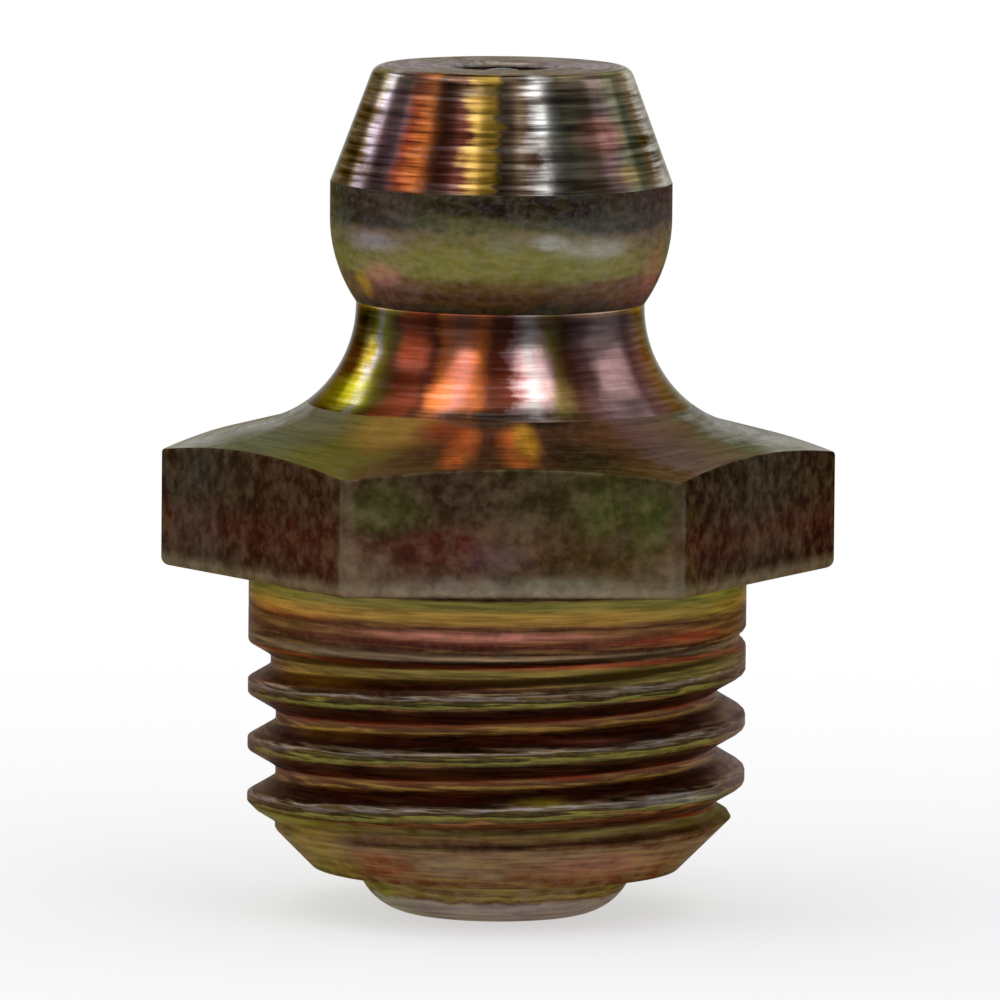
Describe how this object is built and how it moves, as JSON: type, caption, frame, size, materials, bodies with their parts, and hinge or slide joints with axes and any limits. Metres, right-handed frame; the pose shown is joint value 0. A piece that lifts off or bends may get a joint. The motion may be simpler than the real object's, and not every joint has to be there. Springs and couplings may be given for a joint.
{
  "type": "grease nipple",
  "caption": "Straight grease nipple: round gripping head with a ball valve inside, flared neck, hexagon and a short threaded shank with a crimped spigot.",
  "frame": {"origin": "on the nipple's axis, in the plane of the hexagon's underside that seats on the machine", "axes": "+Z along the axis towards the head that the grease gun grips; a corner of the hexagon points to +X and a flat faces -Y"},
  "size_m": [0.0128, 0.011, 0.0161],
  "materials": {
    "body": "yellow chromated zinc plate, turned",
    "check_ball": "ground and polished bearing steel",
    "spring": "drawn spring wire"
  },
  "bodies": {
    "body": {"body": "body", "spring": "spring"},
    "check_ball": {"check_ball": "check_ball"}
  },
  "joints": [
    {"name": "ball_lift", "type": "slide", "parent": "body", "child": "check_ball", "axis": [0, 0, -1], "range_m": [0, 0.0012], "stiffness_N_per_m": 1000, "springref_m": -0.001, "deforming": ["spring"]}
  ]
}
